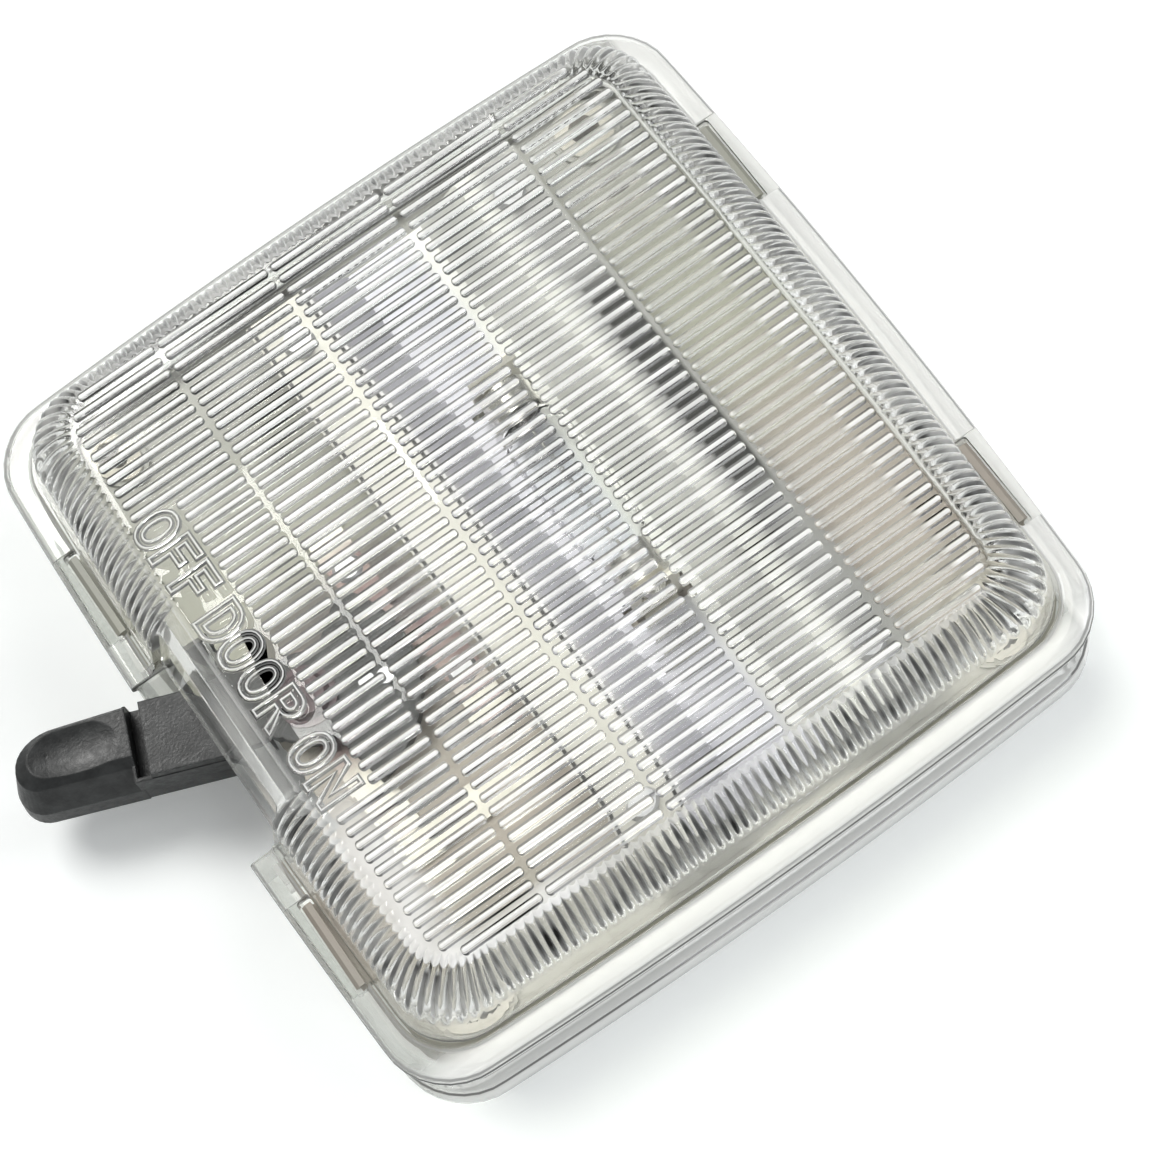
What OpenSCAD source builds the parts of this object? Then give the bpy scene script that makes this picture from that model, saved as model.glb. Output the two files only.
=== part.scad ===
// Car dome light, lying on its back: +Z comes out of the lens, X runs across and Y along.
// The origin is the middle of the four screw holes, in the plane of the lamp's back.
// The switch lever stands at OFF.

/* [Lens outline] */
// Width of the flange across the middle of the long edges
body_w = 102.6; // [98:0.2:110]
// Length of the flange along the middle of the short edges
body_l = 106.2; // [102:0.2:114]
// How far the middle of each flange edge stands out past its ends
edge_bow = 1.45; // [0.8:0.05:2]
// Radius of the flange's corners
corner_r = 8.4; // [7.4:0.1:9]
// Width of the flange round the foot of the dome
flange_w = 3.4; // [3.2:0.1:3.7]
// Height of the flange's top face
flange_z = 15; // [13:0.1:17]
// Thickness of the flange
flange_t = 1.7; // [1.4:0.1:2]
// Distance that the skirt stands in from the flange's edge
skirt_in = 0.7; // [0.5:0.1:0.9]
// Thickness of the skirt
skirt_t = 1.4; // [1.2:0.1:1.6]
// Height of the bead at the skirt's foot
bead_h = 4; // [2:0.2:6]

/* [Dome] */
// Height of the rib crests on the top above the flange
dome_h = 13.9; // [12.8:0.1:16]
// Thickness of the dome
dome_t = 1.8; // [1.5:0.1:2]
// Height of the plain band at the foot of the dome
band_h = 5; // [3.8:0.1:5.6]
// Distance that the plain band leans in
band_lean = 1.3; // [0.8:0.1:1.5]
// Distance that the ribbed shoulder rolls in at the ends of the lamp
shoulder_run = 5.2; // [4.8:0.1:5.6]
// Extra distance that it rolls in at the sides of the lamp
side_run = 1.2; // [0:0.1:1.6]
// Spacing of the ribs round the wall
wall_pitch = 1.3; // [1.25:0.01:1.8]
// Height of the ribs round the wall
wall_rib = 0.5; // [0.3:0.05:0.6]
// Spacing of the ribs across the top
top_pitch = 1.92; // [1.8:0.02:3]
// Height of the ribs across the top
top_rib = 0.5; // [0.3:0.05:0.7]
// Distance between the seams that part the ribs on the top
seam_pitch = 16.7; // [15:0.1:17.4]
// Width of each seam
seam_w = 0.6; // [0.4:0.1:1]
// Distance from the lamp's middle to the middle of the seams
seam_x = 0.1; // [0:0.1:1]

/* [Snap tabs] */
// Distance between the middles of the two slots on each side
clip_span = 54.4; // [51:0.2:58]
// Distance from the lamp's middle to the middle between those two slots
clip_shift = 1.5; // [0:0.1:2]
// Length of each slot
clip_l = 13.7; // [12:0.1:15]
// Width of each slot
clip_w = 1.9; // [1.8:0.05:2]
// Depth of the step in the flange beside each slot
clip_step = 0.4; // [0.2:0.05:0.5]

/* [Base] */
// Thickness of the base's rim
rim_t = 1.5; // [1.2:0.1:1.8]
// Depth of the floor's underside below the flange's top
floor_drop = 4.7; // [4.5:0.1:5]
// Thickness of the floor
floor_t = 1.4; // [1.2:0.1:1.6]
// Distance of the screw holes from the middle of the side edges
screw_in_x = 13.3; // [13:0.1:16]
// Distance of the screw holes from the middle of the end edges
screw_in_y = 11.1; // [11:0.1:14]
// Radius of the hole through each eyelet
screw_r = 2.1; // [1.8:0.1:2.4]
// Height of the screw bosses above the floor
boss_h = 0.6; // [0.4:0.1:1]

/* [Switch] */
// Distance of the lever's pivot from the middle of the side edge
pivot_in = 16.3; // [15.6:0.1:16.7]
// Distance of the lever's pivot from the lamp's middle, along the lamp
pivot_y = -1; // [-2:0.5:1]
// Radius of the pivot pin
pivot_r = 1.5; // [1.2:0.1:1.8]
// Angle that the lever turns either side of DOOR
swing = 22; // [18:1:22]
// Width of the lever
lever_w = 10.4; // [9:0.2:10.6]
// Reach of the lever's tip from its pivot
lever_reach = 37.3; // [34:0.1:41]
// Thickness of the lever outside the lamp
lever_t = 8.5; // [7:0.1:9.5]
// Radius of the lever's inner quadrant
quadrant_r = 14.5; // [13.5:0.5:16]
// Radius of the arc along which the wiper touches
wiper_r = 12.4; // [11.5:0.1:12.6]

/* [Bulb and reflector] */
// Distance from the lamp's middle to the bulb's axis, across the lamp
bulb_x = 7; // [5:0.5:8]
// Height of the bulb's axis above the floor
bulb_h = 6.6; // [6.4:0.1:7.6]
// Length of the bulb over its caps
bulb_l = 36; // [31:0.5:41]
// Radius of the bulb's glass
glass_r = 4.5; // [4:0.1:4.6]
// Radius of the bulb's caps
cap_r = 3.4; // [3:0.1:3.6]
// Width of the reflector
mirror_w = 42; // [40:0.5:44]
// Distance of the reflector's ends from the middle of the end edges
mirror_end = 9.2; // [8.8:0.1:13]
// Width of each side lip of the reflector
lip_w = 9; // [8:0.5:10]
// Height of the reflector's side lips above the floor
lip_h = 5; // [4.6:0.1:5.4]
// Thickness of the reflector sheet
mirror_t = 0.4; // [0.3:0.1:0.5]

/* [Contacts] */
// Thickness of the contact strips
strip_t = 0.5; // [0.4:0.05:0.6]
// Width of the contact strips
strip_w = 5; // [4:0.5:5.5]
// Width of the blade terminals
blade_w = 6.3; // [4.8:0.1:6.3]
// Thickness of the blade terminals
blade_t = 0.8; // [0.5:0.1:0.8]
// Length of the blade terminals
blade_l = 8; // [6:0.5:9]

/* [Hidden] */
$fn = 48;
// Clearance between pieces that slide over or into each other
fit = 0.3;
// Clearance round a pin in its hole
pin_fit = 0.06;
// Clearance of a fastener in a hole that it fills
snug = 0.05;
// Extra reach of every cut, so that it passes right through
over = 1;
half_w = body_w / 2;
half_l = body_l / 2;
flange_low = flange_z - flange_t;
skirt_inner = skirt_in + skirt_t;
foot_fillet = 0.8;
band_z = flange_z + band_h;
dome_z = flange_z + dome_h;
band_in = flange_w + band_lean;
crown_z = dome_z - top_rib;
crown_in = band_in + shoulder_run;
// Part of each edge, from the corner, along which the ribs turn round
turn_l = 16.5;
// How much the corner radius shrinks for each millimetre further in
corner_fall = 0.28;
shoulder_steps = 3;
// How round the shoulder is: 1 is straight, 2 is nearly a quarter of a circle
shoulder_round = 1.45;
// Length of the bend round one corner, halfway up the shoulder
turn_run = 15.6;
long_ribs = round((body_l - 2 * turn_l) / wall_pitch);
wide_ribs = round((body_w - 2 * turn_l) / wall_pitch);
turn_ribs = round(turn_run / wall_pitch);
fine = [2 * long_ribs, 2 * turn_ribs, 2 * wide_ribs];
plain = [6, 8, 6];
bands = 5;
// The flat panel for the switch's legend, where the top has no ribs
legend_x = half_w - 17.4;
legend_low = pivot_y - 18.4;
legend_high = pivot_y + 25.2;
slot_x = half_w - edge_bow * pow(clip_span / body_l, 2) - flange_w - 0.2;
return_t = 1.4;
pivot_x = half_w - pivot_in;
lever_top = flange_z;
lever_low = lever_top - lever_t;
gap_half = pivot_in * tan(swing) + lever_w / 2 / cos(swing) + 1.5;
gap_top = lever_top + 0.4;
recess_x = half_w - 4.8;
recess_r = 1.5;
// Height and lean of the smooth recess in the dome above the lever
recess_h = 10.6;
recess_lean = 13.5;
// Reach of its cut outwards from its face
recess_cut = 8;
floor_z = flange_z - floor_drop;
floor_top = floor_z + floor_t;
screw_x = body_w - 2 * screw_in_x;
screw_y = body_l - 2 * screw_in_y;
boss_z = floor_top + boss_h;
base_in = flange_w + fit;
notch_half = gap_half + return_t + fit;
notch_x = pivot_x + 6.5;
tab_t = 0.8;
// Reach of each snap tab's foot into the base's rim
tab_foot = 1.2;
eyelet_t = 0.7;
eyelet_rise = 0.3;
eyelet_flange_r = screw_r + 1.9;
boss_r = eyelet_flange_r + 0.8;
strip_top = floor_top + strip_t;
mirror_l = body_l - 2 * mirror_end;
mirror_low = floor_top + 1.2;
lip_z = floor_top + lip_h;
well_w = mirror_w - 2 * lip_w;
well_slope = 6;
well_floor = well_w - 2 * well_slope;
post_r = 2.8;
post_x = mirror_w / 2 - lip_w / 2;
post_y = mirror_l / 2 - 6;
rest_y = mirror_l / 2 - 3;
screw_shank_r = 1.1;
bulb_z = floor_top + bulb_h;
clip_gap_y = bulb_l / 2 - 1.1;
strap_w = 7;
// Distance from each bulb clip to its rivet
rivet_step = 5;
rivet_r = 1.2;
rivet_head_r = 2;
rivet_head_t = 0.5;
hub_r = 6;
hub_low = strip_top + fit;
plate_low = hub_low + 0.7;
quadrant_half = 62;
deep_at = (notch_x - pivot_x + fit + lever_w / 2 * sin(swing)) / cos(swing);
ledge_w = 0.45;
ledge_drop = 1.4;
groove_at = 19.6;
groove_w = 1.9;
groove_deep = 3.6;
// Thickness of the wall that closes the groove on the lever's near side
groove_wall = 0.9;
thumb_top = lever_top - 0.6;
// The dish in the thumb's top
dish_r = 10;
dish_l = 13;
dish_depth = 0.7;
pin_head_r = 3.2;
pin_head_t = 1;
washer_t = 0.4;
leaf_t = 0.3;
leaf_w = 4;
pad_w = 3.6;
// How far each contact pad reaches in and out of the wiper's arc
pad_in = 1.6;
pad_out = 3.4;
ring_r = 7.2;
wiper_rivet_r = 0.7;
wiper_rivet_at = [7.8, 10.2];
touch_gap = 0.15;
cap_l = 4.4;
cone_l = 2.6;
tip_r = 0.8;
glass_t = 0.6;
filament_l = 11;
filament_r = 0.35;
lead_r = 0.2;
// Distance from each bulb clip to its strip's far run, and to the feed blade
run_step = 7.1;
feed_step = 14.1;
// Distances from the pivot to the door and ground blades, across and along the lamp
door_reach = [17.5, -14];
ground_reach = [13.5, 18];
// Distance from those blades to their strips' rivets
drop_step = 6;
// Depth of the blades below the floor
blade_drop = 2.4;
rear_run_y = -clip_gap_y - run_step;
feed_drop_y = clip_gap_y + feed_step;
door_drop = [door_reach[0] - pivot_x, door_reach[1] + pivot_y];
ground_drop = [ground_reach[0] - pivot_x, ground_reach[1] + pivot_y];

// A point moved so that straight edges bow outwards in their middle
function bowed(p) = [
    p[0] * (1 - edge_bow / half_w * pow(p[1] / half_l, 2)),
    p[1] * (1 - edge_bow / half_l * pow(p[0] / half_w, 2))
];

// Radius of the corner at a distance in from the flange's edge
function corner_at(inset) = corner_r - corner_fall * inset;

// A point a share q of the way round the first corner, straight pieces included
function turn_point(inset, q) =
    let (r = corner_at(inset))
    let (run = turn_l - inset - r)
    let (arc = PI * r / 2)
    let (d = q * (2 * run + arc))
    let (a = min(max((d - run) / r * 180 / PI, 0), 90))
    d < run ? [half_w - inset, half_l - turn_l + d]
    : d > run + arc ? [half_w - turn_l + 2 * run + arc - d, half_l - inset]
    : [half_w - inset - r + r * cos(a), half_l - inset - r + r * sin(a)];

// Inset of point k where crests and valleys take turns
function rib_inset(inset, rib, k) = inset + (k % 2 == 0 ? -rib / 2 : rib / 2);

// Share of the width that is left at an inset, since the shoulder rolls in further at the sides
function side_share(inset) = 1 - side_run / half_w * min(max((inset - band_in) / shoulder_run, 0), 1);

// The flange's outline, taken in by inset, with count points on each edge and corner
function outline(inset, count, rib = 0) =
    let (share = side_share(inset))
    let (straight = body_l - 2 * turn_l)
    let (right = [for (k = [0:count[0] - 1])
        [half_w - rib_inset(inset, rib, k), (k + 0.5 - count[0] / 2) * straight / count[0]]])
    let (first = [for (k = [0:count[1] - 1])
        turn_point(rib_inset(inset, rib, k), (k + 0.5) / count[1])])
    let (end = [for (k = [0:count[2] - 1])
        [(count[2] / 2 - k - 0.5) * (body_w - 2 * turn_l) / count[2], half_l - rib_inset(inset, rib, k)]])
    let (second = [for (k = [0:count[1] - 1])
        let (p = turn_point(rib_inset(inset, rib, k), 1 - (k + 0.5) / count[1]))
        [-p[0], p[1]]])
    let (half = concat(right, first, end, second))
    [for (p = concat(half, -half)) bowed([p[0] * share, p[1]])];

// A solid through outlines at rising heights: each level is [inset, height, rib]
module loft(levels, count) {
    rings = [for (v = levels) outline(v[0], count, len(v) > 2 ? v[2] : 0)];
    n = len(rings[0]);
    points = [for (i = [0:len(levels) - 1]) for (p = rings[i]) [p[0], p[1], levels[i][1]]];
    sides = [for (i = [0:len(levels) - 2]) for (k = [0:n - 1])
        let (a = i * n + k)
        let (b = i * n + (k + 1) % n)
        each [[a, a + n, b], [b, a + n, b + n]]];
    bottom = [for (k = [0:n - 1]) k];
    top = [for (k = [0:n - 1]) len(levels) * n - 1 - k];
    polyhedron(points, concat(sides, [bottom, top]));
}

// A level plate of the flange's outline, taken in by inset
module plate(inset, low, high) {
    translate([0, 0, low])
        linear_extrude(high - low)
            polygon(outline(inset, plain));
}

// A block between two corners
module block(low, high) {
    translate(low)
        cube(high - low);
}

// Children on both sides of the lamp's long axis and at both ends
module each_quarter(x, y) {
    for (i = [-1, 1], k = [-1, 1])
        translate([i * x, k * y, 0])
            children();
}

// Shoulder of the dome: share s runs from 0 at the plain band to 1 at the crown
function shoulder(s, start, run, low, high) = [
    start + run * pow(s, shoulder_round),
    low + (high - low) * (1 - pow(1 - s, shoulder_round))
];

module flange_and_skirt() {
    loft([
        [0.4, 0],
        [0.15, 0.4],
        [0.15, bead_h],
        [skirt_in, bead_h + 0.3],
        [skirt_in, flange_low - 0.3],
        [0.15, flange_low],
        [0, flange_low + 0.3],
        [0, flange_z - 0.8],
        [0.3, flange_z - 0.3],
        [1, flange_z],
    ], plain);
    loft([
        [flange_w - foot_fillet, flange_z - 0.1],
        [flange_w - 0.35 * foot_fillet, flange_z + 0.3 * foot_fillet],
        [flange_w + 0.1, flange_z + foot_fillet],
    ], plain);
}

// The plain band at the dome's foot, and above it the shoulder with its ribs
module dome_outside() {
    loft([[flange_w, flange_low], [band_in, band_z]], plain);
    loft(concat(
        [[band_in + 0.05, band_z - 0.4, 0]],
        [for (i = [1:shoulder_steps])
            let (p = shoulder(i / shoulder_steps, band_in, shoulder_run, band_z, crown_z))
            [p[0], p[1], wall_rib]]
    ), fine);
}

module dome_inside() {
    inner_in = band_in + dome_t;
    loft(concat(
        [[flange_w + dome_t - 0.3, flange_low - over]],
        [for (s = [0, 0.5, 1])
            shoulder(s, inner_in, shoulder_run - 1, band_z, crown_z - dome_t)]
    ), plain);
}

// The five fields of ribs across the top, cut to the crown's outline
module top_ribs() {
    count = floor((body_l - 2 * crown_in - 1) / top_pitch);
    start = -count * top_pitch / 2;
    comb = concat(
        [[start, crown_z - 0.3]],
        [for (k = [0:count - 1]) each [
            [start + k * top_pitch, crown_z + 0.05],
            [start + (k + 0.5) * top_pitch, dome_z]
        ]],
        [[-start, crown_z + 0.05], [-start, crown_z - 0.3]]
    );
    difference() {
        intersection() {
            plate(crown_in + 0.2, crown_z - over, dome_z + over);
            for (i = [0:bands - 1]) {
                low = i == 0 ? -half_w : seam_x + (i - bands / 2) * seam_pitch + seam_w / 2;
                high = i == bands - 1 ? half_w : seam_x + (i + 1 - bands / 2) * seam_pitch - seam_w / 2;
                translate([low, 0, 0])
                    rotate([90, 0, 90])
                        linear_extrude(high - low)
                            polygon(comb);
            }
        }
        block([-half_w, legend_low, crown_z - 0.1], [-legend_x, legend_high, dome_z + over]);
    }
}

// A slot with round ends that runs along the lamp
module slot(w, l, low, high) {
    hull()
        for (k = [-1, 1])
            translate([0, k * (l - w) / 2, low])
                cylinder(d = w, h = high - low, $fn = 12);
}

// Children drawn with the foot of the recess at the origin, then leant in
module at_recess() {
    translate([-recess_x, pivot_y, flange_z])
        rotate([0, recess_lean, 0])
            children();
}

// A window with round corners, seen across the lamp
module window(x_low, x_high, half, z_low, z_high, r) {
    hull()
        for (k = [-1, 1], z = [z_low + r, z_high - r])
            translate([x_low, k * (half - r), z])
                rotate([0, 90, 0])
                    cylinder(r = r, h = x_high - x_low, $fn = 16);
}

module lens() {
    slot_mid = slot_x + clip_w / 2;
    color([0.9, 0.93, 0.9, 0.45])
        difference() {
            union() {
                difference() {
                    union() {
                        flange_and_skirt();
                        dome_outside();
                        top_ribs();
                    }
                    plate(skirt_inner, -over, flange_low);
                    difference() {
                        dome_inside();
                        at_recess()
                            window(-recess_cut, dome_t, gap_half + dome_t, -over, recess_h + dome_t, 1);
                    }
                }
                for (k = [-1, 1])
                    translate([0, pivot_y + k * (gap_half + return_t / 2), 0])
                        block([-half_w + skirt_in + 0.4, -return_t / 2, 0],
                            [-recess_x + dome_t, return_t / 2, flange_low + 0.5]);
            }
            for (i = [-1, 1], k = [-1, 1]) {
                translate([i * slot_mid, k * clip_span / 2 - clip_shift, 0])
                    slot(clip_w, clip_l, flange_low - over, flange_z + over);
                translate([i * (slot_mid + half_w + over) / 2, k * clip_span / 2 - clip_shift, 0])
                    hull()
                        block([-(half_w + over - slot_mid) / 2, -clip_l / 2, flange_z - clip_step],
                            [(half_w + over - slot_mid) / 2, clip_l / 2, flange_z + over]);
            }
            at_recess()
                window(-recess_cut, 0, gap_half, -3 * over, recess_h, recess_r);
            translate([0, pivot_y, 0])
                window(-half_w - over, -recess_x + dome_t + 0.5, gap_half, -3 * over, gap_top, 0.6);
        }
}

// The snap tab's section, its nose outwards
module tab() {
    root = slot_x + fit;
    nose = slot_x + clip_w - fit;
    rotate([90, 0, 0])
        linear_extrude(clip_l - 2 * fit - 1, center = true)
            polygon([
                [root - tab_foot, floor_top - 0.5],
                [root + tab_t, floor_top - 0.5],
                [root + tab_t, flange_low + 0.5],
                [nose, flange_low + 0.9],
                [nose, flange_z - clip_step - 0.4],
                [root + tab_t, flange_z - clip_step],
                [root, flange_z - clip_step],
                [root, flange_low - fit],
                [root - tab_foot, flange_low - fit],
            ]);
}

module screw_holes(r, low, high) {
    each_quarter(screw_x / 2, screw_y / 2)
        translate([0, 0, low])
            cylinder(r = r, h = high - low);
}

module rivet_places() {
    for (k = [-1, 1])
        translate([bulb_x, k * (clip_gap_y + rivet_step), 0])
            children();
    translate([door_drop[0], door_drop[1] + drop_step, 0])
        children();
    translate([ground_drop[0], ground_drop[1] - drop_step, 0])
        children();
}

// Slits through which the strips reach the blades behind the floor
module blade_slits() {
    for (p = [[bulb_x, feed_drop_y], door_drop, ground_drop])
        translate([p[0], p[1], 0])
            block([-blade_w / 2 - snug, -blade_t / 2 - snug, floor_z - over],
                [blade_w / 2 + snug, blade_t / 2 + snug, floor_top + over]);
}

module base() {
    rib_t = 1.2;
    rib_end = base_in + rim_t / 2;
    color([0.78, 0.77, 0.7])
        difference() {
            union() {
                difference() {
                    plate(base_in, 0, flange_low);
                    plate(base_in + rim_t, floor_top, flange_low + over);
                    plate(base_in + rim_t, -over, floor_z);
                }
                block([-rib_t / 2, -half_l + rib_end, 0], [rib_t / 2, half_l - rib_end, floor_z]);
                block([-pivot_x + pivot_r + 3, -rib_t / 2, 0], [half_w - rib_end, rib_t / 2, floor_z]);
                for (i = [-1, 1])
                    mirror([i > 0 ? 0 : 1, 0, 0])
                        for (k = [-1, 1])
                            translate([0, k * clip_span / 2 - clip_shift, 0])
                                tab();
                screw_bosses();
                reflector_posts();
                for (k = [-1, 1])
                    translate([bulb_x, k * rest_y, 0])
                        block([-well_floor / 2, -rib_t / 2, floor_z],
                            [well_floor / 2, rib_t / 2, mirror_low]);
            }
            translate([-half_w, pivot_y, 0])
                block([-over, -notch_half, -over], [half_w - notch_x, notch_half, flange_z]);
            screw_holes(screw_r + eyelet_t + snug, -over, boss_z + over);
            translate([-pivot_x, pivot_y, 0])
                cylinder(r = pivot_r + snug, h = floor_top + over);
            rivet_places()
                cylinder(r = rivet_r + snug, h = floor_top + over);
            blade_slits();
            translate([bulb_x, 0, 0])
                each_quarter(post_x, post_y)
                    translate([0, 0, floor_top])
                        cylinder(r = screw_shank_r + snug, h = lip_z);
        }
}

module screw_bosses() {
    each_quarter(screw_x / 2, screw_y / 2)
        cylinder(r = boss_r, h = boss_z);
}

module reflector_posts() {
    translate([bulb_x, 0, 0])
        each_quarter(post_x, post_y)
            translate([0, 0, floor_z])
                cylinder(r = post_r, h = lip_z - floor_z);
}

module screw_eyelets() {
    color([0.8, 0.72, 0.4])
        each_quarter(screw_x / 2, screw_y / 2)
            rotate_extrude()
                polygon([
                    [screw_r, eyelet_rise],
                    [screw_r + eyelet_t, eyelet_rise],
                    [screw_r + eyelet_t, boss_z],
                    [eyelet_flange_r, boss_z],
                    [eyelet_flange_r, boss_z + 0.4],
                    [screw_r, boss_z + 0.4],
                ]);
}

// The reflector's section, from its left lip down into the well and up to its right lip
module reflector_section() {
    a = mirror_w / 2;
    b = well_w / 2;
    c = well_floor / 2;
    up = lip_z + mirror_t;
    down = mirror_low + mirror_t;
    polygon([
        [-a, lip_z], [-b, lip_z], [-c, mirror_low], [c, mirror_low], [b, lip_z], [a, lip_z],
        [a, up], [b - 0.2, up], [c - 0.2, down], [-c + 0.2, down], [-b + 0.2, up], [-a, up],
    ]);
}

module reflector() {
    color([0.86, 0.86, 0.88])
        difference() {
            translate([bulb_x, 0, 0])
                rotate([90, 0, 0])
                    linear_extrude(mirror_l, center = true)
                        reflector_section();
            for (k = [-1, 1])
                translate([bulb_x, k * (clip_gap_y + 0.25), 0])
                    block([-4.5, -1.5, mirror_low - over], [4.5, 1.5, mirror_low + over]);
            translate([bulb_x, 0, 0])
                each_quarter(post_x, post_y)
                    translate([0, 0, lip_z - over])
                        cylinder(r = screw_shank_r + 0.2, h = 3 * over);
        }
}

module reflector_screws() {
    head_t = 1.2;
    color([0.7, 0.7, 0.72])
        translate([bulb_x, 0, 0])
            each_quarter(post_x, post_y) {
                translate([0, 0, floor_top + 0.5])
                    cylinder(r = screw_shank_r, h = lip_z + mirror_t - floor_top - 0.5);
                translate([0, 0, lip_z + mirror_t])
                    difference() {
                        cylinder(r1 = 2.2, r2 = 1.8, h = head_t);
                        translate([-3, -0.3, head_t - 0.5])
                            cube([6, 0.6, over]);
                    }
            }
}

// Children whose own Z axis becomes the bulb's axis, front end first
module along_bulb() {
    translate([bulb_x, 0, bulb_z])
        rotate([-90, 0, 0])
            children();
}

module bulb_glass() {
    neck = bulb_l / 2 - cone_l - cap_l;
    inner = cap_r - 0.5;
    color([0.9, 0.93, 0.95, 0.35])
        along_bulb()
            rotate_extrude()
                polygon([
                    [inner - glass_t, -neck - 2], [inner, -neck - 2], [inner, -neck],
                    [glass_r - 0.4, -neck + 1.4], [glass_r, -neck + 3],
                    [glass_r, neck - 3], [glass_r - 0.4, neck - 1.4],
                    [inner, neck], [inner, neck + 2], [inner - glass_t, neck + 2],
                    [inner - glass_t, neck], [glass_r - glass_t - 0.4, neck - 1.6],
                    [glass_r - glass_t, neck - 3.2], [glass_r - glass_t, -neck + 3.2],
                    [glass_r - glass_t - 0.4, -neck + 1.6], [inner - glass_t, -neck],
                ]);
}

// A bulb cap: a cup over the glass's neck, closed by a cone
module bulb_cap() {
    start = bulb_l / 2 - cone_l - cap_l + 0.3;
    edge = bulb_l / 2 - cone_l;
    inner = cap_r - 0.5 + snug;
    color([0.75, 0.74, 0.7])
        along_bulb()
            rotate_extrude()
                polygon([
                    [inner, start], [cap_r, start], [cap_r, edge],
                    [tip_r, bulb_l / 2], [0, bulb_l / 2],
                    [0, edge - 1.6], [inner, edge - 1.6],
                ]);
}

module bulb_cap_front() {
    bulb_cap();
}

module bulb_cap_rear() {
    mirror([0, 1, 0])
        bulb_cap();
}

module filament() {
    color([0.45, 0.44, 0.42])
        along_bulb()
            cylinder(r = filament_r, h = filament_l, center = true);
}

module lead_wires() {
    color([0.6, 0.58, 0.55])
        for (k = [0, 1])
            mirror([0, k, 0])
                along_bulb()
                    translate([0, 0, filament_l / 2])
                        cylinder(r = lead_r, h = bulb_l / 2 - cone_l - 1.6 - filament_l / 2);
}

// A strip lying on the base's floor
module strip(low, high) {
    block([low[0], low[1], floor_top], [high[0], high[1], strip_top]);
}

// A blade behind the floor, with the neck that joins it to a strip's end; way is +1 or -1 along Y
module blade(at, way) {
    blade_z = floor_z - blade_drop;
    translate([at[0], at[1], 0])
        mirror([0, way > 0 ? 0 : 1, 0]) {
            block([-blade_w / 2, -blade_t / 2, blade_z], [blade_w / 2, blade_t / 2, strip_top]);
            block([-blade_w / 2, -blade_t / 2, blade_z], [blade_w / 2, blade_l - 1, blade_z + blade_t]);
            translate([0, 0, blade_z])
                linear_extrude(blade_t)
                    polygon([
                        [-blade_w / 2, blade_l - 1], [blade_w / 2, blade_l - 1],
                        [blade_w / 2 - 1, blade_l], [-blade_w / 2 + 1, blade_l],
                    ]);
        }
}

// The upright that grips one end of the bulb, and its foot on the floor
module clip_upright() {
    clip_top = bulb_z + 3.6;
    lean = 0.6;
    difference() {
        translate([bulb_x, clip_gap_y, 0])
            block([-strap_w / 2, 0, floor_top], [strap_w / 2, strip_t, clip_top]);
        along_bulb()
            cylinder(r = tip_r + 1.4, h = bulb_l);
    }
    translate([bulb_x - strap_w / 2, clip_gap_y, clip_top])
        rotate([90, 0, 90])
            linear_extrude(strap_w)
                polygon([[0, 0], [strip_t, 0], [strip_t + lean, 0.7], [lean, 0.7]]);
}

module rivet_hole(at) {
    translate([at[0], at[1], floor_top - over])
        cylinder(r = rivet_r + snug, h = 3 * over);
}

module front_clip() {
    color([0.8, 0.66, 0.36])
        difference() {
            union() {
                clip_upright();
                strip([bulb_x - strip_w / 2, clip_gap_y], [bulb_x + strip_w / 2, feed_drop_y]);
                blade([bulb_x, feed_drop_y], 1);
            }
            rivet_hole([bulb_x, clip_gap_y + rivet_step]);
        }
}

module rear_clip() {
    color([0.8, 0.66, 0.36])
        difference() {
            union() {
                mirror([0, 1, 0])
                    clip_upright();
                strip([bulb_x - strip_w / 2, rear_run_y - strip_w / 2],
                    [bulb_x + strip_w / 2, -clip_gap_y]);
                strip([-pivot_x - strip_w / 2, rear_run_y - strip_w / 2],
                    [bulb_x + strip_w / 2, rear_run_y + strip_w / 2]);
                strip([-pivot_x - strip_w / 2, rear_run_y - strip_w / 2],
                    [-pivot_x + strip_w / 2, pivot_y]);
                translate([-pivot_x, pivot_y, floor_top])
                    intersection() {
                        cylinder(r = ring_r, h = strip_t);
                        block([-strip_w / 2, -ring_r, -over], [ring_r, ring_r, over]);
                    }
            }
            rivet_hole([bulb_x, -clip_gap_y - rivet_step]);
            translate([-pivot_x, pivot_y, floor_top - over])
                cylinder(r = pivot_r + snug, h = 3 * over);
        }
}

// Where the wiper touches when the lever has turned by angle from DOOR
function touch_point(angle) = [-pivot_x + wiper_r * cos(angle), pivot_y + wiper_r * sin(angle)];

// A contact pad on the wiper's arc, with a tail towards its own strip
module pad(angle) {
    translate([-pivot_x, pivot_y, 0])
        rotate([0, 0, angle])
            strip([wiper_r - pad_in, -pad_w / 2], [wiper_r + pad_out, pad_w / 2]);
}

module door_contact() {
    color([0.8, 0.66, 0.36])
        difference() {
            union() {
                pad(0);
                strip([door_drop[0] - strip_w / 2, door_drop[1]],
                    [door_drop[0] + strip_w / 2, pivot_y + pad_w / 2]);
                blade(door_drop, -1);
            }
            rivet_hole([door_drop[0], door_drop[1] + drop_step]);
        }
}

module ground_contact() {
    p = touch_point(swing);
    color([0.8, 0.66, 0.36])
        difference() {
            union() {
                pad(swing);
                strip([ground_drop[0] - strip_w / 2, p[1] + 0.4],
                    [ground_drop[0] + strip_w / 2, ground_drop[1]]);
                blade(ground_drop, 1);
            }
            rivet_hole([ground_drop[0], ground_drop[1] - drop_step]);
        }
}

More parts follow.
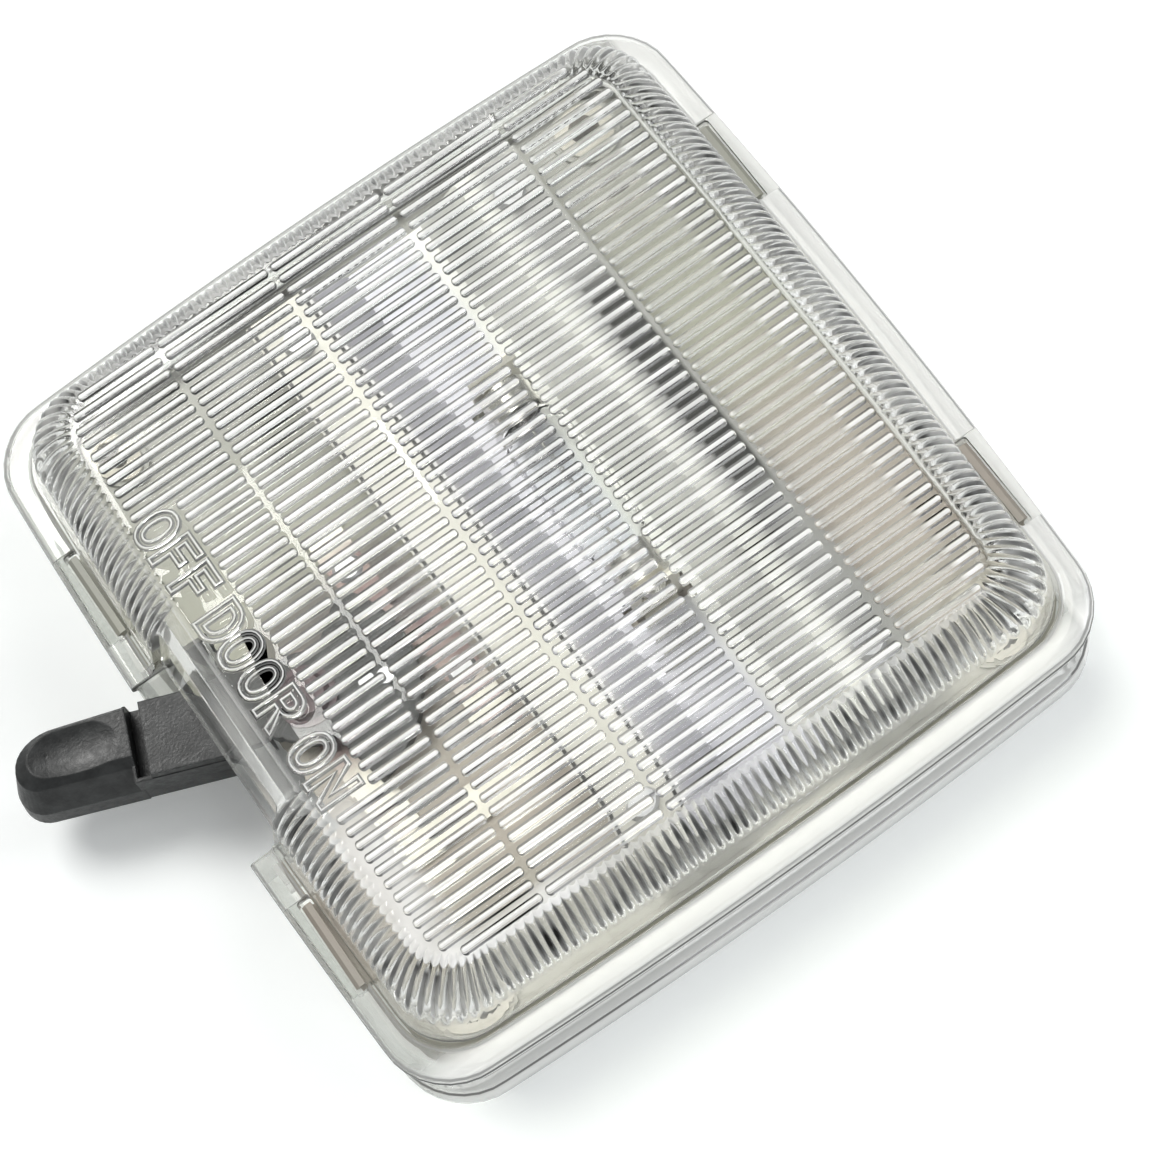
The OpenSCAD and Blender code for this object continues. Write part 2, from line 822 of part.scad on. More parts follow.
module contact_rivets() {
    color([0.72, 0.72, 0.74])
        rivet_places() {
            translate([0, 0, floor_z])
                cylinder(r = rivet_r, h = strip_top - floor_z);
            translate([0, 0, strip_top])
                cylinder(r1 = rivet_head_r, r2 = rivet_head_r - 0.5, h = rivet_head_t);
            translate([0, 0, floor_z - rivet_head_t])
                cylinder(r = rivet_head_r, h = rivet_head_t);
        }
}

module pivot_pin() {
    head_low = lever_top + washer_t;
    color([0.72, 0.72, 0.74])
        translate([-pivot_x, pivot_y, 0]) {
            translate([0, 0, floor_z])
                cylinder(r = pivot_r, h = head_low - floor_z);
            translate([0, 0, head_low])
                cylinder(r1 = pin_head_r, r2 = pin_head_r - 0.6, h = pin_head_t);
            translate([0, 0, floor_z - 0.8])
                cylinder(r = pivot_r + 1, h = 0.8);
        }
}

module pivot_washer() {
    color([0.65, 0.65, 0.67])
        translate([-pivot_x, pivot_y, lever_top + 0.1])
            difference() {
                cylinder(r = pin_head_r + 0.8, h = washer_t - 0.1);
                translate([0, 0, -over])
                    cylinder(r = pivot_r + snug, h = 3 * over);
            }
}

// Children drawn with the pivot at the origin and the thumb along -X, then turned to OFF
module at_pivot() {
    translate([-pivot_x, pivot_y, 0])
        rotate([0, 0, -swing])
            children();
}

// Points along a quarter of an ellipse, from angle start on
function quarter(middle, radii, start) = [for (k = [0:8])
    [middle[0] + radii[0] * cos(start + 11.25 * k), middle[1] + radii[1] * sin(start + 11.25 * k)]];

// One layer of the thumb: both corners of its tip are round, the far one more
module thumb_layer(z, near, far, reach) {
    width = far - near;
    root = -groove_at - groove_w;
    near_r = 0.36 * width;
    far_r = [0.75 * width, 0.56 * width];
    taper = 0.5;
    translate([0, 0, z])
        linear_extrude(0.05)
            polygon(concat(
                quarter([-reach + far_r[0], far - taper - far_r[1]], far_r, 90),
                quarter([-reach + near_r, near + near_r], [near_r, near_r], 180),
                [[root, near], [root, far]]
            ));
}

// The thumb: upright on its far side, sloping from a ridge on its near side, with a dished top
module thumb() {
    side = lever_w / 2;
    difference() {
        hull() {
            thumb_layer(lever_low, -side + 0.7, side - 0.8, lever_reach - 0.8);
            thumb_layer(lever_low + 0.9, -side, side - 0.2, lever_reach);
            thumb_layer(lever_low + 3.5, -side + 0.3, side, lever_reach - 0.2);
            thumb_layer(thumb_top - 1, -side + 2.4, side - 0.1, lever_reach - 1.1);
            thumb_layer(thumb_top - 0.05, -side + 3.6, side - 0.7, lever_reach - 3);
        }
        translate([-groove_at - groove_w - dish_l / 2 - 0.8, 1, thumb_top + dish_r - dish_depth])
            rotate([0, 90, 0])
                barrel();
    }
}

// A barrel that cuts the dish: its ends are thinner, so that the dish runs out softly
module barrel() {
    steps = 8;
    rotate_extrude($fn = 72)
        polygon(concat([[0, -dish_l / 2]], [for (i = [0:steps])
            let (t = 2 * i / steps - 1)
            [dish_r - (dish_depth + 0.1) * t * t, t * dish_l / 2]], [[0, dish_l / 2]]));
}

module quadrant() {
    steps = 12;
    linear_extrude(lever_top - plate_low)
        polygon(concat([[-1, 0]], [for (i = [0:steps])
            let (a = -quadrant_half + 2 * quadrant_half * i / steps)
            [quadrant_r * cos(a), quadrant_r * sin(a)]]));
}

// The lever between the lamp and the thumb, just inside the thumb's own faces
module neck() {
    side = lever_w / 2;
    end = groove_at + groove_w + 0.4;
    top = lever_top - ledge_drop;
    translate([-end, 0, 0])
        rotate([90, 0, 90])
            linear_extrude(end - deep_at)
                polygon([
                    [-side + 0.8, lever_low + 0.05], [side - 1, lever_low + 0.05],
                    [side - 0.3, lever_low + 1], [side - 0.1, top],
                    [-side + 0.35, top], [-side + 0.35, lever_low + 3.6],
                    [-side + 0.1, lever_low + 1],
                ]);
}

module switch_lever() {
    inner_w = lever_w / 2 - ledge_w;
    color([0.16, 0.16, 0.17])
        at_pivot()
            difference() {
                union() {
                    translate([0, 0, hub_low])
                        cylinder(r = hub_r - 1.6, h = lever_top - hub_low);
                    translate([0, 0, plate_low])
                        cylinder(r = hub_r, h = lever_top - plate_low);
                    translate([0, 0, plate_low])
                        quadrant();
                    block([-deep_at - 1, -inner_w, plate_low], [0, inner_w, lever_top]);
                    block([-groove_at, -inner_w, lever_low + 2], [-deep_at, inner_w, lever_top]);
                    neck();
                    thumb();
                }
                translate([0, 0, -over])
                    cylinder(r = pivot_r + pin_fit, h = lever_top + 2 * over);
                for (d = wiper_rivet_at)
                    translate([d, 0, plate_low - over])
                        cylinder(r = wiper_rivet_r + snug, h = lever_top);
                block([-groove_at - groove_w, -lever_w / 2 + groove_wall, lever_top - groove_deep],
                    [-groove_at, lever_w / 2 + over, lever_top + over]);
            }
}

module wiper() {
    leaf_low = plate_low - leaf_t;
    color([0.82, 0.6, 0.34])
        at_pivot()
            difference() {
                union() {
                    block([hub_r - 1.4, -leaf_w / 2, leaf_low], [wiper_r + 1.6, leaf_w / 2, plate_low]);
                    for (d = [hub_r - 0.4, wiper_r])
                        translate([d, 0, strip_top + touch_gap])
                            cylinder(r1 = 0.5, r2 = 0.9, h = leaf_low - strip_top - touch_gap);
                }
                for (d = wiper_rivet_at)
                    translate([d, 0, leaf_low - over])
                        cylinder(r = wiper_rivet_r + snug, h = 3 * over);
            }
}

module wiper_rivets() {
    leaf_low = plate_low - leaf_t;
    head_t = 0.25;
    color([0.72, 0.72, 0.74])
        at_pivot()
            for (d = wiper_rivet_at)
                translate([d, 0, leaf_low]) {
                    cylinder(r = wiper_rivet_r, h = lever_top - leaf_low);
                    translate([0, 0, -head_t])
                        cylinder(r = wiper_rivet_r + 0.35, h = head_t);
                    translate([0, 0, lever_top - leaf_low])
                        cylinder(r = wiper_rivet_r + 0.35, h = head_t);
                }
}

lens();
base();
screw_eyelets();
reflector();
reflector_screws();
bulb_glass();
bulb_cap_front();
bulb_cap_rear();
filament();
lead_wires();
front_clip();
rear_clip();
door_contact();
ground_contact();
contact_rivets();
pivot_pin();
pivot_washer();
switch_lever();
wiper();
wiper_rivets();
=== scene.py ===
"""Looks of the car dome light: a clear ribbed lens over a reflector, a bulb and a side switch."""
import math

import bmesh
import bpy
import numpy as np
from mathutils import Matrix, Vector


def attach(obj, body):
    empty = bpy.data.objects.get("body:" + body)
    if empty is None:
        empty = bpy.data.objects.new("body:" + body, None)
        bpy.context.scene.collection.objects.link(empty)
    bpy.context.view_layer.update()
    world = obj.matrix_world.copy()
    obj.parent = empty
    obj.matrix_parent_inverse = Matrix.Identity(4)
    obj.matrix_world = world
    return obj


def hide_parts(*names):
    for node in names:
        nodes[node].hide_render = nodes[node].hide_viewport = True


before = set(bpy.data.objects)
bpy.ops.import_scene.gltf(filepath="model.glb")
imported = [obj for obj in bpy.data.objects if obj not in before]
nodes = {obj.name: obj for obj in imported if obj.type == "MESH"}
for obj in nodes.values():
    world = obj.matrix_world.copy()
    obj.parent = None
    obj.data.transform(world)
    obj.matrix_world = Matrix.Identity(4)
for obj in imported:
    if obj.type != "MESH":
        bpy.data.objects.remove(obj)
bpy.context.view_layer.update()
MM = 0.001

# Values in millimetres, as in part.scad
BODY_W, BODY_L, EDGE_BOW = 102.6, 106.2, 1.45
CORNER_R, CORNER_FALL, TURN_L = 8.4, 0.28, 16.5
FLANGE_W, FLANGE_Z, FLANGE_T = 3.4, 15.0, 1.7
SKIRT_IN, SKIRT_T, BEAD_H = 0.7, 1.4, 4.0
DOME_H, DOME_T, BAND_H, BAND_LEAN = 13.9, 1.8, 5.0, 1.3
SHOULDER_RUN, SIDE_RUN, SHOULDER_ROUND = 5.2, 1.2, 1.45
WALL_PITCH, WALL_RIB, TOP_PITCH, TOP_RIB = 1.3, 0.5, 1.92, 0.5
SEAM_PITCH, SEAM_W, SEAM_X, BANDS = 16.7, 0.6, 0.1, 5
CLIP_SPAN, CLIP_SHIFT, CLIP_L, CLIP_W, CLIP_STEP = 54.4, 1.5, 13.7, 1.9, 0.4
PIVOT_IN, PIVOT_Y, SWING, LEVER_W = 16.3, -1.0, 22.0, 10.4
TURN_RUN = 15.6
HALF_W, HALF_L = BODY_W / 2, BODY_L / 2
FLANGE_LOW = FLANGE_Z - FLANGE_T
SKIRT_INNER = SKIRT_IN + SKIRT_T
BAND_Z = FLANGE_Z + BAND_H
DOME_Z = FLANGE_Z + DOME_H
BAND_IN = FLANGE_W + BAND_LEAN
CROWN_Z = DOME_Z - TOP_RIB
CROWN_IN = BAND_IN + SHOULDER_RUN
SWING_RAD = math.radians(SWING)
GAP_HALF = PIVOT_IN * math.tan(SWING_RAD) + LEVER_W / 2 / math.cos(SWING_RAD) + 1.5
GAP_TOP = FLANGE_Z + 0.4
RECESS_X = HALF_W - 4.8
RECESS_R, RECESS_H, RECESS_LEAN, RECESS_CUT = 1.5, 10.6, math.radians(13.5), 8.0
BULB_X, BULB_Z = 7.0, 18.3
LEGEND_X = HALF_W - 17.4
LEGEND_LOW, LEGEND_HIGH = PIVOT_Y - 18.4, PIVOT_Y + 25.2
RETURN_T = 1.4
SLOT_X = HALF_W - EDGE_BOW * (CLIP_SPAN / BODY_L) ** 2 - FLANGE_W - 0.2
SLOT_MID = SLOT_X + CLIP_W / 2
LONG_RIBS = round((BODY_L - 2 * TURN_L) / WALL_PITCH)
WIDE_RIBS = round((BODY_W - 2 * TURN_L) / WALL_PITCH)
TURN_RIBS = round(TURN_RUN / WALL_PITCH)

# Points round each rib of the wall, along each side of a plain ring, and the power of a rib's curve
POINTS_PER_RIB, PLAIN_POINTS, RIB_POWER = 8, 16, 1.7


# Mesh helpers, in millimetres

def mesh_object(name, verts, faces):
    mesh = bpy.data.meshes.new(name)
    mesh.from_pydata([tuple(float(c) * MM for c in v) for v in verts], [], faces)
    mesh.validate()
    obj = bpy.data.objects.new(name, mesh)
    bpy.context.scene.collection.objects.link(obj)
    return obj


def remove(obj):
    mesh = obj.data
    bpy.data.objects.remove(obj)
    bpy.data.meshes.remove(mesh)


def combine(obj, other, operation):
    """Cuts other from obj, or joins it on, and removes other."""
    bpy.context.view_layer.update()
    modifier = obj.modifiers.new("combine", "BOOLEAN")
    modifier.operation = operation
    modifier.solver = "MANIFOLD"
    modifier.object = other
    result = bpy.data.meshes.new_from_object(
        obj.evaluated_get(bpy.context.evaluated_depsgraph_get()))
    obj.modifiers.clear()
    old = obj.data
    obj.data = result
    bpy.data.meshes.remove(old)
    remove(other)


def finish_mesh(obj, angle=35):
    """Smooth shading, with the edges sharper than the angle kept."""
    mesh = obj.data
    mesh.materials.clear()
    mesh.polygons.foreach_set("use_smooth", [True] * len(mesh.polygons))
    mesh.set_sharp_from_angle(angle=math.radians(angle))
    mesh.update()


def side_share(inset):
    share = min(max((inset - BAND_IN) / SHOULDER_RUN, 0), 1)
    return 1 - SIDE_RUN / HALF_W * share


def turn_points(inset, share):
    r = CORNER_R - CORNER_FALL * inset
    run = TURN_L - inset - r
    arc = math.pi * r / 2
    d = share * (2 * run + arc)
    a = np.clip((d - run) / r, 0, math.pi / 2)
    x = HALF_W - inset - r + r * np.cos(a)
    y = HALF_L - inset - r + r * np.sin(a)
    before, after = d < run, d > run + arc
    x = np.where(before, HALF_W - inset, np.where(after, HALF_W - TURN_L + 2 * run + arc - d, x))
    y = np.where(before, HALF_L - TURN_L + d, np.where(after, HALF_L - inset, y))
    return x, y


def ring(inset, rib=0.0, fine=False):
    """Points round the flange's outline taken in by inset, with or without ribs."""
    p = np.concatenate([half_ring(inset, rib, fine, 0.0), -half_ring(inset, rib, fine, 1.0)])
    p[:, 0] *= side_share(inset)
    bow_x = 1 - EDGE_BOW / HALF_W * (p[:, 1] / HALF_L) ** 2
    bow_y = 1 - EDGE_BOW / HALF_L * (p[:, 0] / HALF_W) ** 2
    return np.stack([p[:, 0] * bow_x, p[:, 1] * bow_y], 1)


def half_ring(inset, rib, fine, smooth_gap):
    """Half the ring, from the right side on; smooth_gap flattens the ribs over the lever's gap."""
    parts = []
    per = POINTS_PER_RIB if fine else 1
    counts = (LONG_RIBS, TURN_RIBS, WIDE_RIBS, TURN_RIBS) if fine else (PLAIN_POINTS,) * 4
    for which, count in enumerate(counts):
        k = np.arange(count * per)
        share = k / (count * per)
        phase = (share * count) % 1 - 0.5
        crest = 1 - np.abs(2 * phase) ** RIB_POWER
        depth = rib * np.ones(count * per)
        if which == 0:
            from_gap = np.abs((0.5 - share) * (BODY_L - 2 * TURN_L) - PIVOT_Y) - GAP_HALF
            depth *= 1 - smooth_gap * np.clip(0.5 - from_gap, 0, 1)
        taken = inset + depth * (0.5 - crest) if fine else inset + 0 * share
        if which == 0:
            x, y = HALF_W - taken, (share - 0.5) * (BODY_L - 2 * TURN_L)
        elif which == 1:
            x, y = turn_points(taken, share)
        elif which == 2:
            x, y = (0.5 - share) * (BODY_W - 2 * TURN_L), HALF_L - taken
        else:
            x, y = turn_points(taken, 1 - share)
            x = -x
        parts.append(np.stack([x, y], 1))
    return np.concatenate(parts)


def loft(name, levels, fine=False):
    """A closed solid through rings at rising heights: each level is (inset, height, rib)."""
    rings = [ring(v[0], v[2] if len(v) > 2 else 0.0, fine) for v in levels]
    n = len(rings[0])
    verts = [(x, y, v[1]) for r, v in zip(rings, levels) for x, y in r]
    faces = []
    for i in range(len(levels) - 1):
        for k in range(n):
            a, b = i * n + k, i * n + (k + 1) % n
            faces.append((a, b, b + n, a + n))
    faces.append(tuple(range(n - 1, -1, -1)))
    faces.append(tuple((len(levels) - 1) * n + k for k in range(n)))
    return mesh_object(name, verts, faces)


def prism(name, outline, low, high, place):
    """A solid of an outline between two levels; place turns (u, v, level) into x, y, z."""
    n = len(outline)
    verts = [place(u, v, low) for u, v in outline] + [place(u, v, high) for u, v in outline]
    faces = [(k, (k + 1) % n, (k + 1) % n + n, k + n) for k in range(n)]
    faces += [tuple(range(n - 1, -1, -1)), tuple(range(n, 2 * n))]
    return recalculated(mesh_object(name, verts, faces))


def box(name, low, high):
    outline = [(low[0], low[1]), (high[0], low[1]), (high[0], high[1]), (low[0], high[1])]
    return prism(name, outline, low[2], high[2], lambda u, v, z: (u, v, z))


def rounded(half_u, low_v, high_v, r, steps=6):
    """A rectangle with round corners, as points."""
    points = []
    for cx, cy, start in ((half_u - r, high_v - r, 0), (-half_u + r, high_v - r, 90),
                          (-half_u + r, low_v + r, 180), (half_u - r, low_v + r, 270)):
        for k in range(steps + 1):
            a = math.radians(start + 90 * k / steps)
            points.append((cx + r * math.cos(a), cy + r * math.sin(a)))
    return points


def window(name, x_low, x_high, half, z_low, z_high, r):
    return prism(name, rounded(half, z_low, z_high, r), x_low, x_high,
                 lambda u, v, x: (x, u + PIVOT_Y, v))


def recess(name, x_high, half, z_low, z_high, r):
    """A window that leans in with the smooth recess over the lever."""
    c, s = math.cos(RECESS_LEAN), math.sin(RECESS_LEAN)
    return prism(name, rounded(half, z_low, z_high, r), -RECESS_CUT, x_high,
                 lambda u, v, x: (x * c + v * s - RECESS_X, u + PIVOT_Y, v * c - x * s + FLANGE_Z))


def shoulder(s, start, run, low, high):
    return (start + run * s ** SHOULDER_ROUND, low + (high - low) * (1 - (1 - s) ** SHOULDER_ROUND))


# Half the section of a rib and of a letter's line: distance from the middle, height over the crown
RIB_SECTION = [(0.72, -0.04), (0.65, 0.02), (0.41, 0.15), (0.33, 0.27), (0.23, 0.38), (0.11, 0.45)]
LETTER_SECTION = [(0.4, -0.04), (0.35, 0.02), (0.2, 0.13), (0.16, 0.26), (0.08, 0.36)]


def recalculated(obj):
    work = bmesh.new()
    work.from_mesh(obj.data)
    bmesh.ops.recalc_face_normals(work, faces=work.faces)
    work.to_mesh(obj.data)
    work.free()
    return obj


def crown_reach(y):
    """How far the crown's flat top reaches from the middle to the side at y."""
    corner = CORNER_R - CORNER_FALL * CROWN_IN
    into = abs(y) - (HALF_L - CROWN_IN - corner)
    reach = HALF_W - CROWN_IN - SIDE_RUN - EDGE_BOW * (y / HALF_L) ** 2
    if into > 0:
        reach -= corner - math.sqrt(max(corner ** 2 - into ** 2, 0))
    return reach


def ridge(verts, faces, low, high, y):
    """One rib with round ends, from low to high along X."""
    section = [(y + w, h) for w, h in RIB_SECTION]
    section += [(y - w, h) for w, h in reversed(RIB_SECTION)]
    around = len(section)
    ends = [(0.0, 0.3), (0.09, 0.66), (0.24, 0.92), (0.45, 1.06), (0.7, 1.0)]
    stations = [(low + d, q) for d, q in ends] + [(high - d, q) for d, q in reversed(ends)]
    start = len(verts)
    for x, q in stations:
        for v, h in section:
            rise = h * min(q, 1) if h > 0 else h
            verts.append((x, y + (v - y) * q, CROWN_Z + rise))
    for s in range(len(stations) - 1):
        a0 = start + s * around
        for m in range(around):
            q = (m + 1) % around
            faces.append((a0 + m, a0 + q, a0 + around + q, a0 + around + m))
    last = start + (len(stations) - 1) * around
    faces.append(tuple(start + m for m in range(around)))
    faces.append(tuple(last + m for m in range(around)))


# How far the ribs on the top keep from the crown's edge, at the ends and at the sides of the lamp
END_MARGIN, SIDE_MARGIN = 0.9, 0.5


def ridges(name):
    """The ribs on the top in five fields; they stop short of the switch's legend."""
    count = int((BODY_L - 2 * CROWN_IN - 1) // TOP_PITCH)
    verts, faces = [], []
    for k in range(count + 1):
        y = (k - count / 2) * TOP_PITCH
        if abs(y) > HALF_L - CROWN_IN - END_MARGIN:
            continue
        reach = crown_reach(y) - SIDE_MARGIN
        for i in range(BANDS):
            low = -reach if i == 0 else SEAM_X + (i - BANDS / 2) * SEAM_PITCH + SEAM_W / 2
            if i == 0 and LEGEND_LOW < y < LEGEND_HIGH:
                low = -LEGEND_X
            high = SEAM_X + (i + 1 - BANDS / 2) * SEAM_PITCH - SEAM_W / 2
            if i == BANDS - 1:
                high = reach
            ridge(verts, faces, low, high, y)
    return recalculated(mesh_object(name, verts, faces))


# Outlines of the legend's letters: u runs along the word, v towards the letter's top
LETTER_H = 5.6
LEGEND_FOOT = 11.1


def oval(half_u, half_v, steps=20):
    points = []
    for k in range(steps):
        c, s = math.cos(2 * math.pi * k / steps), math.sin(2 * math.pi * k / steps)
        points.append((half_u * math.copysign(abs(c) ** 0.85, c),
                       LETTER_H / 2 + half_v * math.copysign(abs(s) ** 0.85, s)))
    return points


def bow(u_mid, v_low, v_high, reach):
    """The round side of a D or R, from its lower end to its upper end."""
    half = (v_high - v_low) / 2
    return [(u_mid + reach * math.cos(a), v_low + half + half * math.sin(a))
            for a in [math.radians(-90 + 22.5 * k) for k in range(9)]]


LETTERS = {
    "O": [oval(1.9, 2.8), oval(1.05, 1.95)],
    "F": [[(-1.7, 0), (-1.7, 5.6), (1.7, 5.6), (1.7, 4.7), (-0.8, 4.7),
           (-0.8, 3.4), (1.2, 3.4), (1.2, 2.5), (-0.8, 2.5), (-0.8, 0)]],
    "D": [[(-1.8, 0), *bow(-0.1, 0, 5.6, 2.0), (-1.8, 5.6)],
          [(-0.9, 0.9), *bow(-0.2, 0.9, 4.7, 1.2), (-0.9, 4.7)]],
    "R": [[(-1.8, 0), (-1.8, 5.6), *reversed(bow(0.2, 2.5, 5.6, 1.5)), (1.9, 0), (0.9, 0),
           (-0.2, 2.5), (-0.9, 2.5), (-0.9, 0)],
          [(-0.9, 3.35), *bow(0.1, 3.35, 4.75, 0.75), (-0.9, 4.75)]],
    "N": [[(-1.9, 0), (-1.9, 5.6), (-0.95, 5.6), (0.95, 1.9), (0.95, 5.6), (1.9, 5.6), (1.9, 0),
           (0.95, 0), (-0.95, 3.7), (-0.95, 0)]],
}

# Each letter with the place of its middle along Y
LEGEND = [("O", 22.0), ("F", 17.7), ("F", 13.4), ("D", 7.4), ("O", 3.1), ("O", -1.4), ("R", -5.8),
          ("O", -12.4), ("N", -17.0)]


def letter_lines(name):
    """The legend OFF, DOOR, ON as raised outlines on the crown, read towards -Y."""
    section = LETTER_SECTION + [(-w, h) for w, h in reversed(LETTER_SECTION)]
    around = len(section)
    verts, faces = [], []
    for letter, middle in LEGEND:
        for outline in LETTERS[letter]:
            points = [np.array((-HALF_W + LEGEND_FOOT + v, middle - u)) for u, v in outline]
            n, start = len(points), len(verts)
            for k, point in enumerate(points):
                before = point - points[k - 1]
                after = points[(k + 1) % n] - point
                before, after = before / np.linalg.norm(before), after / np.linalg.norm(after)
                along = (before + after) / max(np.linalg.norm(before + after), 0.2)
                miter = 1 / max(float(np.dot(along, before)), 0.6)
                side = np.array((-along[1], along[0])) * miter
                for w, h in section:
                    q = point + side * w
                    verts.append((q[0], q[1], CROWN_Z + h))
            for k in range(n):
                a0, b0 = start + k * around, start + (k + 1) % n * around
                for m in range(around):
                    q = (m + 1) % around
                    faces.append((a0 + m, a0 + q, b0 + q, b0 + m))
    return recalculated(mesh_object(name, verts, faces))


# Profile of the flange and skirt, from the lamp's back up: distance in from the edge, and height
SKIRT_PROFILE = [
    (0.4, 0), (0.2, 0.15), (0.12, 0.5), (0.12, BEAD_H - 0.2), (0.25, BEAD_H + 0.05),
    (SKIRT_IN, BEAD_H + 0.3), (SKIRT_IN, FLANGE_LOW - 0.4), (SKIRT_IN - 0.1, FLANGE_LOW - 0.15),
    (0.25, FLANGE_LOW), (0.05, FLANGE_LOW + 0.2), (0, FLANGE_LOW + 0.5), (0, FLANGE_Z - 0.9),
    (0.1, FLANGE_Z - 0.5), (0.4, FLANGE_Z - 0.2), (1.0, FLANGE_Z - 0.03), (1.4, FLANGE_Z),
]
FOOT_FILLET = 0.8

# The ribbed shoulder: share of its run, and the ribs' depth there as a share of WALL_RIB
SHOULDER_STEPS = [
    (0.0, 0), (0.04, 0.12), (0.1, 0.35), (0.17, 0.62), (0.25, 0.85), (0.34, 0.97), (0.44, 1),
    (0.54, 1), (0.64, 1), (0.74, 1), (0.83, 1), (0.91, 1), (0.97, 0.9), (1.0, 0.7),
]


def lens_outside():
    lens = loft("dome_lens", SKIRT_PROFILE)
    arc = []
    for angle in (0, 22, 45, 67, 90):
        a = math.radians(angle)
        arc.append((FLANGE_W + 0.12 - FOOT_FILLET * (1 - math.sin(a)),
                    FLANGE_Z + FOOT_FILLET * (1 - math.cos(a))))
    combine(lens, loft("fillet", [(FLANGE_W - FOOT_FILLET, FLANGE_Z - 0.3)] + arc), "UNION")
    band = [(FLANGE_W, FLANGE_LOW), (BAND_IN, BAND_Z), (BAND_IN + 0.3, BAND_Z + 0.4)]
    combine(lens, loft("band", band), "UNION")
    levels = [(BAND_IN + 0.02, BAND_Z - 0.5, 0.0)]
    for s, share in SHOULDER_STEPS:
        inset, z = shoulder(s, BAND_IN, SHOULDER_RUN, BAND_Z, CROWN_Z)
        levels.append((inset, z, WALL_RIB * share))
    combine(lens, loft("ribbed", levels, True), "UNION")
    combine(lens, ridges("ridges"), "UNION")
    combine(lens, letter_lines("legend"), "UNION")
    return lens


def hollow(lens):
    """Cuts the room inside the skirt and the dome, and leaves a wall behind the recess."""
    skirt_room = loft("skirt_room", [(SKIRT_INNER, -1), (SKIRT_INNER, FLANGE_LOW)])
    combine(lens, skirt_room, "DIFFERENCE")
    inner_in = BAND_IN + DOME_T
    levels = [(FLANGE_W + DOME_T - 0.3, FLANGE_LOW - 1)]
    for k in range(11):
        levels.append(shoulder(k / 10, inner_in, SHOULDER_RUN - 1, BAND_Z, CROWN_Z - DOME_T))
    room = loft("dome_room", levels)
    wall_back = recess("wall_back", DOME_T, GAP_HALF + DOME_T, -1, RECESS_H + DOME_T, 1)
    combine(room, wall_back, "DIFFERENCE")
    combine(lens, room, "DIFFERENCE")


def cut_slot(lens, i, k):
    """The slot of one snap tab, with the step in the flange outside it."""
    y = k * CLIP_SPAN / 2 - CLIP_SHIFT
    outline = rounded(CLIP_W / 2, -CLIP_L / 2, CLIP_L / 2, 0.5)
    outline = [(u + i * SLOT_MID, v + y) for u, v in outline]
    slot = prism("slot", outline, FLANGE_LOW - 1, FLANGE_Z + 1, lambda u, v, z: (u, v, z))
    combine(lens, slot, "DIFFERENCE")
    ends = sorted((i * SLOT_MID, i * (HALF_W + 1)))
    step = box("step", (ends[0], y - CLIP_L / 2, FLANGE_Z - CLIP_STEP),
               (ends[1], y + CLIP_L / 2, FLANGE_Z + 1))
    combine(lens, step, "DIFFERENCE")


def make_lens():
    lens = lens_outside()
    hollow(lens)
    for k in (-1, 1):
        y = PIVOT_Y + k * (GAP_HALF + RETURN_T / 2)
        side_wall = box("return", (-HALF_W + SKIRT_IN + 0.4, y - RETURN_T / 2, 0),
                        (-RECESS_X + DOME_T, y + RETURN_T / 2, FLANGE_LOW + 0.5))
        combine(lens, side_wall, "UNION")
    for i in (-1, 1):
        for k in (-1, 1):
            cut_slot(lens, i, k)
    combine(lens, recess("recess", 0, GAP_HALF, -3, RECESS_H, RECESS_R), "DIFFERENCE")
    gap = window("gap", -HALF_W - 1, -RECESS_X + DOME_T + 0.5, GAP_HALF, -3, GAP_TOP, 0.6)
    combine(lens, gap, "DIFFERENCE")
    finish_mesh(lens)
    return lens


def make_coil():
    """The filament: a fine coil between the two lead wires."""
    length, coil_r, wire_r, turns, per_turn, around = 11.0, 0.27, 0.075, 30, 12, 6
    count = turns * per_turn
    verts, faces = [], []
    for k in range(count + 1):
        a = 2 * math.pi * k / per_turn
        y = -length / 2 + wire_r + (length - 2 * wire_r) * k / count
        middle = np.array((BULB_X + coil_r * math.cos(a), y, BULB_Z + coil_r * math.sin(a)))
        out = np.array((math.cos(a), 0.0, math.sin(a)))
        rise = length / turns / (2 * math.pi)
        along = np.array((-math.sin(a) * coil_r, rise, math.cos(a) * coil_r))
        along /= np.linalg.norm(along)
        other = np.cross(along, out)
        for m in range(around):
            b = 2 * math.pi * m / around
            verts.append(middle + wire_r * (out * math.cos(b) + other * math.sin(b)))
    for k in range(count):
        for m in range(around):
            q = (m + 1) % around
            a0 = k * around
            faces.append((a0 + m, a0 + q, a0 + around + q, a0 + around + m))
    faces.append(tuple(range(around)))
    faces.append(tuple(count * around + m for m in range(around)))
    coil = recalculated(mesh_object("filament_coil", verts, faces))
    finish_mesh(coil, 60)
    return coil


# Material helpers

# Most of a noise's values lie between these two
NOISE_LOW, NOISE_HIGH = 0.3, 0.7

# Depth of the surface's grain, in metres
GRAIN_DEPTH = 0.0001


